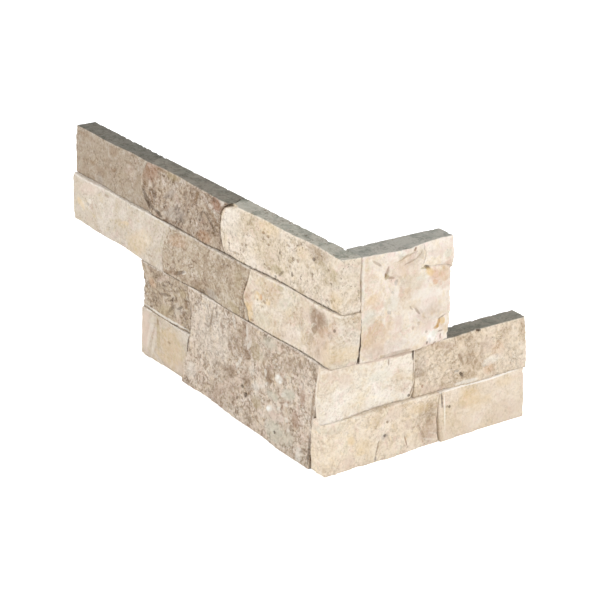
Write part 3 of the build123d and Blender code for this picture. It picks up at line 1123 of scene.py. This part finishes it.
def split_height(graph, stone, sizes, flat):
    """Height of a split face over its plane, and the small part of it."""
    seeded = seeded_place(graph, stone, flat)
    slope = graph.noise(seeded, sizes.flake * PER_METRE, 2.0, 0.5, 0.8) * STEPS_OF_FLAKES
    whole = graph.math("FLOOR", slope)
    terrace = whole + graph.ease(slope - whole, 0.2, 0.7) - 0.5
    flakes = (terrace * 0.5 + slope * 0.5) * (stone.flake * 0.4)
    lumps = graph.noise(seeded, sizes.lump * PER_METRE, 4.0, 0.6, 0.6) * stone.lump
    rough_share = graph.ease(graph.pattern(seeded, RELIEF_PATTERNS["rough areas"]), -0.7, 0.5) * 0.75 + 0.25
    grits = graph.noise(seeded, sizes.grain * PER_METRE, 2.0, 0.65) * rough_share * stone.grit
    # The small part, lumps and grit, also gives the painted shade in the low spots and painted light on the
    # high spots
    return flakes + lumps + grits + FACE_LIFT, lumps + grits * 1.6


def cut_marks(graph, node, along, height, flat, lift, hollow):
    """Height of a split face after its hollows and scars are cut, and the small part of it."""
    moved = graph.sum_of(flat, (STONES[node].seed, 0.0, 0.0))
    ragged = graph.pattern(moved, RELIEF_PATTERNS["hollow edge"]) * 0.3
    for *outline, dent in HOLLOWS.get(node, ()):
        far, _ = oval(graph, along, height, outline, ragged)
        hole = graph.ease(far, 1.3, 0.35) * dent
        lift = lift - hole
        # A hollow also deepens the small part, and so the painted shade in it
        hollow = hollow - hole
    ragged = graph.pattern(flat, RELIEF_PATTERNS["scar edge"]) * 0.3
    for *outline, step in SCARS.get(node, ()):
        far, over = oval(graph, along, height, outline, ragged)
        lift = lift - graph.ease(far, 1.1, 0.8) * graph.ease(over, -0.9, 0.7) * step
    return lift, hollow


def rolled_ends(graph, stone, flat, from_low_end, from_high_end):
    """How far the upright arrises of a split face are worn back."""
    roll = graph.ease(from_low_end, ROLL_REACH, 0.0) * stone.roll_low
    if not stone.head_at_high_end:
        roll = roll + graph.ease(from_high_end, ROLL_REACH, 0.0) * stone.roll_high
    return roll * (graph.ease(graph.pattern(flat, RELIEF_PATTERNS["worn end"]), -0.9, 0.8) * 0.8 + 0.2)


def end_shift(graph, stone, depth, height, from_low_end, from_high_end):
    """Move of the ends along the leg: to the line of a joint, or inwards where a free end is torn."""
    torn = graph.pattern(graph.join(stone.seed, depth, height), RELIEF_PATTERNS["torn end"])
    bite = graph.ease(torn, -0.4, 1.0) * stone.torn
    shift = 0.0
    for joint, distance, side in (
        (stone.low_joint, from_low_end, -1.0),
        (stone.high_joint, from_high_end, 1.0),
    ):
        if joint:
            wander = graph.line(height, JOINT_LINES[joint]) + side * GLUE_REACH
            shift = shift + wander * graph.ease(distance, JOINT_REACH, 0.0)
        elif side < 0.0 or not stone.head_at_high_end:
            shift = shift - bite * side * graph.ease(distance, TORN_REACH, 0.0)
    return shift * graph.ease(depth, *SHIFTED)


def bed_shift(graph, low, high, height):
    """Share of the glue's reach by which the inner beds move: upwards on a stone's top and down below it."""
    shift = 0.0
    if low.z > FLOOR_BED:
        shift = shift - graph.ease(height, low.z + BED_REACH, low.z)
    if high.z < TOP_BED:
        shift = shift + graph.ease(height, high.z - BED_REACH, high.z)
    return shift


def chip_depth(graph, stone, sizes, place, depth, bed):
    """Depth of the chips along the long edges of a stone."""
    moved = graph.sum_of(place, (stone.seed * 2.0, stone.seed, 5.0))
    chips = graph.ease(graph.noise(moved, sizes.chip * PER_METRE, 3.0, 0.6), 0.0, 0.9)
    by_front = graph.ease(depth, *CHIPPED_FRONT) * (CHIPS_OF_TOP if stone.dark_top else CHIPS_OF_BED)
    by_back = graph.ease(depth, *CHIPPED_BACK) * CHIPS_OF_BACK
    deepest = sizes.chip_depth * PER_METRE
    return chips * graph.ease(bed, *CHIPPED_BED) * (by_front + by_back) * deepest


def store(graph, geometry, name, value):
    """Keep a value of every point under a name."""
    made = graph.node("GeometryNodeStoreNamedAttribute", data_type="FLOAT", domain="POINT")
    graph.tree.links.new(geometry, made.inputs["Geometry"])
    made.inputs["Name"].default_value = name
    graph.feed(made.inputs["Value"], value)
    return made.outputs["Geometry"]


def set_points(graph, geometry, socket, value):
    """Give every point a position, or move it by an offset."""
    made = graph.node("GeometryNodeSetPosition")
    graph.tree.links.new(geometry, made.inputs["Geometry"])
    graph.feed(made.inputs[socket], value)
    return made.outputs[0]


def soften(graph, geometry, weight):
    """Round the upright edges where the weight is near 1."""
    place = graph.source("GeometryNodeInputPosition")
    blur = graph.node("GeometryNodeBlurAttribute", data_type="FLOAT_VECTOR")
    graph.feed(blur.inputs["Value"], place)
    blur.inputs["Iterations"].default_value = SOFT_TURNS
    graph.feed(blur.inputs["Weight"], weight)
    x, y, _ = graph.split(Wire(graph, blur.outputs[0]))
    _, _, z = graph.split(place)
    return set_points(graph, geometry, "Position", graph.join(x, y, z))


def relief_tree(node, sizes):
    """Modifier that turns a blank into a split stone: shells, lumps, grit, worn arrises and chips."""
    stone = STONES[node]
    low, high = (corner * PER_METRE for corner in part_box(node))
    tree = bpy.data.node_groups.new(node + "_relief", "GeometryNodeTree")
    for way in ("INPUT", "OUTPUT"):
        tree.interface.new_socket("Geometry", in_out=way, socket_type="NodeSocketGeometry")
    graph = Graph(tree)
    start = graph.node("NodeGroupInput")
    end = graph.node("NodeGroupOutput")

    place = graph.scaled(graph.source("GeometryNodeInputPosition"), PER_METRE)
    normal = graph.source("GeometryNodeInputNormal")
    along, depth, height = on_face(graph, stone.leg, place)
    _, facing, up = on_face(graph, stone.leg, normal)
    start_along, end_along = (low.x, high.x) if stone.leg == "long" else (low.y, high.y)
    from_low_end = along - start_along
    from_high_end = end_along - along
    bed = graph.math("MINIMUM", height - low.z, high.z - height)

    flat = graph.join(along, 0.0, height)
    lift, hollow = split_height(graph, stone, sizes, flat)
    lift, hollow = cut_marks(graph, node, along, height, flat, lift, hollow)
    lift = lift - rolled_ends(graph, stone, flat, from_low_end, from_high_end)
    lift = lift * graph.ease(depth, *LIFTED) * (graph.ease(bed, *WORN_BED) * 0.6 + 0.4)
    shift = end_shift(graph, stone, depth, height, from_low_end, from_high_end)
    move = on_space(graph, stone.leg, shift, lift)
    front = graph.ease(depth, *GLUED)
    beside = graph.ease(up, *FACING_UP) if stone.dark_top else 1.0
    split_share = graph.largest(graph.ease(facing, *FACING_OUT), graph.ease(depth, *SPLIT_SIDE) * beside)

    if stone.head:
        other = OTHER_LEG[stone.leg]
        head_along, head_depth, _ = on_face(graph, other, place)
        _, head_facing, _ = on_face(graph, other, normal)
        head_flat = graph.join(head_along + HEAD_AWAY, 0.0, height)
        head_lift, head_hollow = split_height(graph, stone, sizes, head_flat)
        head_lift = head_lift * graph.ease(head_depth, *HEAD_LIFTED[stone.leg])
        move = graph.sum_of(move, on_space(graph, other, 0.0, head_lift))
        front = graph.largest(front, graph.ease(head_depth, *GLUED))
        head_share = graph.ease(head_facing, *FACING_OUT)
        split_share = graph.largest(split_share, head_share)
        split_share = graph.largest(split_share, graph.ease(head_depth, *HEAD_SPLIT_SIDE) * beside)
        hollow = hollow * (1.0 - head_share) + head_hollow * head_share

    rise = bed_shift(graph, low, high, height) * front * GLUE_REACH
    move = graph.sum_of(move, graph.join(0.0, 0.0, rise * MM))
    chip = chip_depth(graph, stone, sizes, place, depth, bed)

    geometry = store(graph, start.outputs[0], "split", split_share)
    # Small relief, which the colours turn into painted shade in the low spots and painted light on the high
    # spots
    geometry = store(graph, geometry, "hollow", hollow)
    if stone.head:
        x, y, _ = graph.split(place)
        from_corner = graph.largest(high.x - x, y - low.y)
        geometry = soften(graph, geometry, graph.ease(from_corner, *SOFT_CORNER))
    geometry = set_points(graph, geometry, "Offset", move)
    geometry = set_points(graph, geometry, "Offset", graph.scaled(normal, chip * -MM))
    tree.links.new(geometry, end.inputs[0])
    return tree


def carve(node, sizes):
    """The finished mesh of one stone."""
    piece = blank_of(node, sizes.mesh_step)
    modifier = piece.modifiers.new("relief", "NODES")
    modifier.node_group = relief_tree(node, sizes)
    apply_modifier(piece, modifier)
    return piece


def lighter(tint, share):
    """Colour that is a share of the way to white."""
    return tuple(value + (1.0 - value) * share for value in tint)


def ground_colour(graph, stone, pattern, hollow, main, second, calcite):
    """Clouds and mottles of the main and the second colour, with warm and cool areas."""
    # hollow adds painted shade in the low spots of the relief and painted light on its high spots
    tone = pattern["clouds"] * stone.cloud + pattern["mottles"] * stone.mottle + hollow * 0.25
    base = graph.mix(graph.clamped(tone, -1.0), main, second)
    base = graph.mix(graph.clamped(tone, 0.9), base, lighter(main, LIGHT_SHARE))
    warm, cool = pattern["warm"], pattern["cool"]
    base = graph.darken(graph.ease(warm, 0.0, 0.8 / stone.tint), base, HONEY)
    base = graph.darken(graph.ease(warm, 0.0, -0.8 / stone.tint), base, ROSE)
    base = graph.darken(graph.ease(cool, 0.2, 0.9 / stone.tint) * 0.8, base, GREEN_GREY)
    return graph.mix(graph.ease(cool, -0.2, -0.9 / stone.tint) * 0.35, base, calcite)


def add_crystals(graph, stone, pattern, seeded, busy, base, second, calcite):
    """Crystals, as warped cells that are milky, darker or edged."""
    wobble, grains = pattern["cell wobble"], pattern["grains"]
    warped = graph.sum_of(seeded, graph.join(wobble * 1.5, grains * 1.2, wobble * -1.2))
    far, pick = graph.cells(warped, CRYSTAL_WIDTH)
    crystal = (busy * 0.7 + 0.3) * stone.crystal
    base = graph.mix(graph.ease(pick, 0.7, 0.9) * crystal * 0.6, base, calcite)
    base = graph.mix(graph.ease(pick, 0.35, 0.1) * crystal * 0.7, base, second)
    return graph.darken(graph.ease(far, 0.42, 0.75) * crystal * 0.5, base, CRYSTAL_EDGE)


def add_flecks(graph, stone, pattern, busy, vein, base, second, light, calcite):
    """Dark blots, milky flecks, veins and dark and light grains."""
    blot = graph.ease(pattern["blots"] + busy * 0.4, 0.5, 0.75) * stone.blot
    base = graph.mix(blot * 0.8, base, second)
    base = graph.darken(blot * 0.35, base, BLOT_SHADE)
    fleck = graph.ease(pattern["flecks"] + busy * 0.3, 0.5, 0.8) * stone.fleck
    base = graph.mix(fleck * 0.85, base, calcite)
    base = graph.darken(vein, base, VEIN_SHADE)
    grains = pattern["grains"] * (busy * 0.8 + 0.5)
    base = graph.darken(graph.clamped(grains, -stone.fine * 1.1), base, GRAIN_SHADE)
    return graph.mix(graph.clamped(grains, stone.fine * (0.6 + stone.crystal * 0.5)), base, light)


def add_marks(graph, node, colours, pattern, along, height, base):
    """The stone's own patches of colour. Small ones keep a crisp edge."""
    ragged = pattern["mark edge"] * 0.9
    ragged_small = pattern["small mark edge"] * 0.6
    whole = graph.ease(pattern["mark gaps"], -0.9, 0.4)
    for *outline, stain, strength in PATCHES[node]:
        if min(outline[2:4]) < SMALL_MARK or stain in CRISP_STAINS:
            far, _ = oval(graph, along, height, outline, ragged_small)
            cover = graph.ease(far, 1.5, 0.4) * (whole * 0.4 + 0.6)
        else:
            far, _ = oval(graph, along, height, outline, ragged)
            cover = graph.ease(far, 1.7, 0.2) * (whole * 0.6 + 0.4)
        base = graph.mix(cover * strength, base, tuple(getattr(colours, stain)))
    return base


def paint_edge_light_and_shade(graph, stone, pattern, low, high, along, height, base, main, pit):
    """Painted highlight on the upper edge, and painted shadow and the dark glue line on the lower one."""
    # Painted highlight: the upper edge is lighter, as a ledge that catches the light
    rim = graph.ease(high.z - height, *HIGHLIGHT_RIM_FADE)
    rim = rim * graph.ease(pattern["mottles"] + pattern["grains"] * 0.5, -0.7, 0.4)
    base = graph.mix(rim * stone.rim, base, lighter(main, HIGHLIGHT_RIM_SHARE))
    # Painted shadow under the lower edge, over the dark of the glue line, in the pit colour
    gap = graph.ease(height - low.z, *EDGE_SHADOW_FADE) * graph.ease(pattern["grains"], 1.2, -0.6)
    if stone.head_at_high_end:
        gap = gap * graph.ease(along, high.x - 2.0, high.x - 10.0)
    return graph.mix(gap * stone.under, base, pit)


def sawn_colour(graph, stone, pattern, speck, earth, high, height, main, pale):
    """Greyed tone of the main colour under saw dust, darker on a dark top."""
    dust = tuple(
        (value * own * 0.6 + grey * 0.4) * SAWN_LIGHT for value, own, grey in zip(main, SAWN_OWN, SAWN_GREY)
    )
    sawn = graph.darken(graph.ease(pattern["saw dust"], -0.15, 0.25) * 0.8, dust, DUST_SHADE)
    tone = pattern["clouds"] * 0.5 + pattern["mottles"] * 1.1 + pattern["grains"] * 0.8
    sawn = graph.darken(graph.clamped(tone, -0.9), sawn, SAWN_SHADE)
    sawn = graph.mix(graph.clamped(tone, 0.5), sawn, pale)
    sawn = graph.mix(speck * 0.8, sawn, earth)
    # Darker top: partly painted shade of the top, partly dirt on the cut
    if stone.dark_top:
        top_shade = graph.ease(high.z - height, *TOP_SHADE_FADE)
        sawn = graph.darken(top_shade, sawn, (stone.sawn / SAWN_LIGHT,) * 3)
    return sawn


def empty_material(name):
    """Material with nothing but its output, and the graph that fills it."""
    material = bpy.data.materials.new(name)
    material.use_nodes = True
    material.node_tree.nodes.clear()
    graph = Graph(material.node_tree)
    return material, graph, graph.node("ShaderNodeOutputMaterial")


def stone_material(node, colours):
    """Split face in the stone's own colours, with sawn faces in a greyed tone of it."""
    stone = STONES[node]
    name = short_name(node)
    main = tuple(getattr(colours, name + "_main"))
    second = tuple(getattr(colours, name + "_second"))
    calcite, pit, umber = tuple(colours.calcite), tuple(colours.pit), tuple(colours.umber)
    material, graph, output = empty_material(name + "_stone")
    surface = graph.node("ShaderNodeBsdfPrincipled")
    graph.tree.links.new(surface.outputs[0], output.inputs[0])
    surface.inputs["Specular IOR Level"].default_value = SHEEN

    place = graph.scaled(graph.source("ShaderNodeTexCoord", "Object"), PER_METRE)
    along, _, height = on_face(graph, stone.leg, place)
    x, y, z = graph.split(place)
    seeded = seeded_place(graph, stone, graph.join(x + z * stone.lean, y - z * stone.lean, z))
    low, high = (corner * PER_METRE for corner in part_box(node))
    split_share = graph.source("ShaderNodeAttribute", "Fac", attribute_name="split")
    # Small relief, for the painted shade in its low spots and painted light on its high spots
    hollow = graph.source("ShaderNodeAttribute", "Fac", attribute_name="hollow")
    pattern = {name: graph.pattern(seeded, kind) for name, kind in COLOUR_PATTERNS.items()}

    busy = graph.ease(pattern["busy areas"], -0.7, 0.6)
    vein = graph.ease(graph.math("ABSOLUTE", pattern["veins"]), 0.22, 0.03)
    vein = vein * graph.ease(pattern["mottles"], 0.4, -0.3) * stone.vein
    speck = graph.ease(pattern["specks"] + (busy + stone.speck) * 0.25, 0.8, 1.0)
    speck = speck * min(1.0, stone.speck + 0.2)
    earth = tuple(0.45 * dark + 0.55 * brown for dark, brown in zip(pit, umber))
    light = lighter(main, LIGHT_SHARE)

    base = ground_colour(graph, stone, pattern, hollow, main, second, calcite)
    base = add_crystals(graph, stone, pattern, seeded, busy, base, second, calcite)
    base = add_flecks(graph, stone, pattern, busy, vein, base, second, light, calcite)
    base = graph.mix(speck * 0.55, base, earth)
    base = add_marks(graph, node, colours, pattern, along, height, base)
    base = paint_edge_light_and_shade(graph, stone, pattern, low, high, along, height, base, main, pit)
    pale = tuple(colours.sawn)
    sawn = sawn_colour(graph, stone, pattern, speck, earth, high, height, main, pale)
    graph.feed(surface.inputs["Base Color"], graph.mix(split_share, sawn, base))
    graph.feed(surface.inputs["Roughness"], MATT - graph.clamped(pattern["grains"], 0.05))

    bump = graph.node("ShaderNodeBump")
    bump.inputs["Strength"].default_value = BUMP_STRENGTH
    bump.inputs["Distance"].default_value = BUMP_HEIGHT * MM
    tooth = pattern["tooth"] * (0.4 + stone.grit * 2.0) - speck * 2.0 - vein * 1.2
    graph.feed(bump.inputs["Height"], tooth)
    graph.tree.links.new(bump.outputs[0], surface.inputs["Normal"])
    return material


def finish_leg(leg):
    """Carve and colour the stones of one leg, and let each stand for its blank."""
    scene = bpy.context.scene
    for node, stone in STONES.items():
        if stone.leg != leg:
            continue
        piece = carve(node, scene.stone_relief)
        piece.data.materials.append(stone_material(node, scene.stone_colours))
        make_active(piece)
        bpy.ops.object.shade_smooth()
        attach(piece, "root")
        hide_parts(node)


class STONEPANEL_OT_long_leg(bpy.types.Operator):
    """Carve and colour the stones of the long leg"""

    bl_idname = "stonepanel.long_leg"
    bl_label = "Long leg stones"

    def execute(self, context):
        finish_leg("long")
        return {"FINISHED"}


class STONEPANEL_OT_short_leg(bpy.types.Operator):
    """Carve and colour the stones of the short leg"""

    bl_idname = "stonepanel.short_leg"
    bl_label = "Short leg stones"

    def execute(self, context):
        finish_leg("short")
        return {"FINISHED"}


class STONEPANEL_OT_stage(bpy.types.Operator):
    """Add the floor, the lamps and the camera"""

    bl_idname = "stonepanel.stage"
    bl_label = "Stage"

    def execute(self, context):
        settings = context.scene.stone_stage
        add_floor(settings)
        add_world(settings)
        add_lamps(settings)
        add_camera(settings)
        return {"FINISHED"}


# Lamps: name, place, point that it faces and width, in metres, and the setting that gives its power
LAMPS = (
    ("long_leg_lamp", (-0.46, -1.27, 0.99), (-0.15, 0.0, 0.07), 0.8, "long_power"),
    ("short_leg_lamp", (1.3, 0.24, 0.99), (0.0, 0.06, 0.07), 0.8, "short_power"),
    ("back_lamp", (-1.3, 1.3, 1.0), (-0.12, 0.0, 0.07), 1.0, "back_power"),
)

# Camera: place in metres, the three directions of its view, sensor in millimetres and clipping in metres
CAMERA_PLACE = (0.963286, -0.748855, 0.613614)
CAMERA_RIGHT = (0.58388613, 0.81118257, 0.03255505)
CAMERA_UP = (-0.32492033, 0.19675159, 0.92504897)
CAMERA_BACK = (0.74397834, -0.55070106, 0.37845023)
SENSOR_WIDTH = 36.0
CLIP_START = 0.05
CLIP_END = 20.0

# How far the floor lies under the stones, in millimetres, and how much the camera sees it glow
FLOOR_DROP = 0.1
FLOOR_GLOW = 0.6
WHITE = (1.0, 1.0, 1.0, 1.0)


def camera_only(graph):
    """1 for rays of the camera and of clear or glossy things, 0 for rays that light the object."""
    path = graph.node("ShaderNodeLightPath")
    seen = Wire(graph, path.outputs["Is Camera Ray"])
    for ray in ("Is Glossy Ray", "Is Transmission Ray"):
        seen = graph.largest(seen, Wire(graph, path.outputs[ray]))
    return seen


def add_floor(settings):
    """Plain pale floor that keeps the shadow and reads as white."""
    deselect_all()
    bpy.ops.mesh.primitive_plane_add(size=settings.floor_width, location=(0, 0, -FLOOR_DROP * MM))
    floor = bpy.context.active_object
    floor.name = "floor"
    material, graph, output = empty_material("pale_floor")
    matt = graph.node("ShaderNodeBsdfDiffuse")
    matt.inputs["Color"].default_value = (*settings.floor_colour, 1.0)
    glow = graph.node("ShaderNodeEmission")
    glow.inputs["Color"].default_value = WHITE
    graph.feed(glow.inputs["Strength"], camera_only(graph) * FLOOR_GLOW)
    total = graph.node("ShaderNodeAddShader")
    links = graph.tree.links
    links.new(matt.outputs[0], total.inputs[0])
    links.new(glow.outputs[0], total.inputs[1])
    links.new(total.outputs[0], output.inputs[0])
    floor.data.materials.append(material)


def add_world(settings):
    """Even light from all around, with a white backdrop."""
    world = bpy.data.worlds.new("studio")
    bpy.context.scene.world = world
    world.use_nodes = True
    world.node_tree.nodes.clear()
    graph = Graph(world.node_tree)
    output = graph.node("ShaderNodeOutputWorld")
    light = graph.node("ShaderNodeBackground")
    seen = camera_only(graph)
    _, _, rise = graph.split(graph.source("ShaderNodeTexCoord", "Generated"))
    steep = graph.ease(graph.math("ABSOLUTE", rise), 0.0, 0.9)
    glow = settings.horizon_light - steep * (settings.horizon_light - settings.zenith_light)
    graph.feed(light.inputs["Strength"], seen + (1.0 - seen) * glow)
    light.inputs["Color"].default_value = WHITE
    graph.tree.links.new(light.outputs[0], output.inputs[0])


def add_lamps(settings):
    """Large soft lamp in front of each leg and a weaker one behind the object."""
    for name, place, aim, width, power in LAMPS:
        deselect_all()
        bpy.ops.object.light_add(type="AREA", location=place)
        lamp = bpy.context.active_object
        lamp.name = name
        lamp.data.shape = "SQUARE"
        lamp.data.size = width
        lamp.data.energy = getattr(settings, power)
        lamp.rotation_euler = (Vector(aim) - Vector(place)).to_track_quat("-Z", "Y").to_euler()


def add_camera(settings):
    """Camera at the photograph's angle."""
    deselect_all()
    bpy.ops.object.camera_add()
    camera = bpy.context.active_object
    camera.name = "camera"
    camera.data.lens = settings.lens
    camera.data.sensor_width = SENSOR_WIDTH
    turn = Matrix((CAMERA_RIGHT, CAMERA_UP, CAMERA_BACK)).transposed().to_4x4()
    camera.matrix_world = Matrix.Translation(CAMERA_PLACE) @ turn
    camera.data.clip_start = CLIP_START
    camera.data.clip_end = CLIP_END
    bpy.context.scene.camera = camera


class STONEPANEL_PT_sidebar(bpy.types.Panel):
    """Lists the steps that build the panel's looks"""

    bl_idname = "STONEPANEL_PT_sidebar"
    bl_label = "Stone Panel"
    bl_space_type = "VIEW_3D"
    bl_region_type = "UI"
    bl_category = "Stone Panel"

    def draw(self, context):
        layout = self.layout
        for operator in OPERATORS:
            layout.operator(operator.bl_idname)
        for settings in (context.scene.stone_relief, context.scene.stone_colours, context.scene.stone_stage):
            box = layout.box()
            for name in settings.__annotations__:
                box.prop(settings, name)


OPERATORS = (STONEPANEL_OT_long_leg, STONEPANEL_OT_short_leg, STONEPANEL_OT_stage)
CLASSES = (StoneColours, ReliefSizes, StageSettings, *OPERATORS, STONEPANEL_PT_sidebar)


def register():
    """Make the settings, the steps and the panel known."""
    for item in CLASSES:
        bpy.utils.register_class(item)
    bpy.types.Scene.stone_colours = bpy.props.PointerProperty(type=StoneColours)
    bpy.types.Scene.stone_relief = bpy.props.PointerProperty(type=ReliefSizes)
    bpy.types.Scene.stone_stage = bpy.props.PointerProperty(type=StageSettings)


def unregister():
    """Undo what register did."""
    del bpy.types.Scene.stone_stage
    del bpy.types.Scene.stone_relief
    del bpy.types.Scene.stone_colours
    for item in reversed(CLASSES):
        bpy.utils.unregister_class(item)


def main():
    """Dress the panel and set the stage."""
    register()
    bpy.context.scene.view_settings.view_transform = "Standard"
    bpy.ops.stonepanel.long_leg()
    bpy.ops.stonepanel.short_leg()
    bpy.ops.stonepanel.stage()
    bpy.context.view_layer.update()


if __name__ == "__main__":
    main()
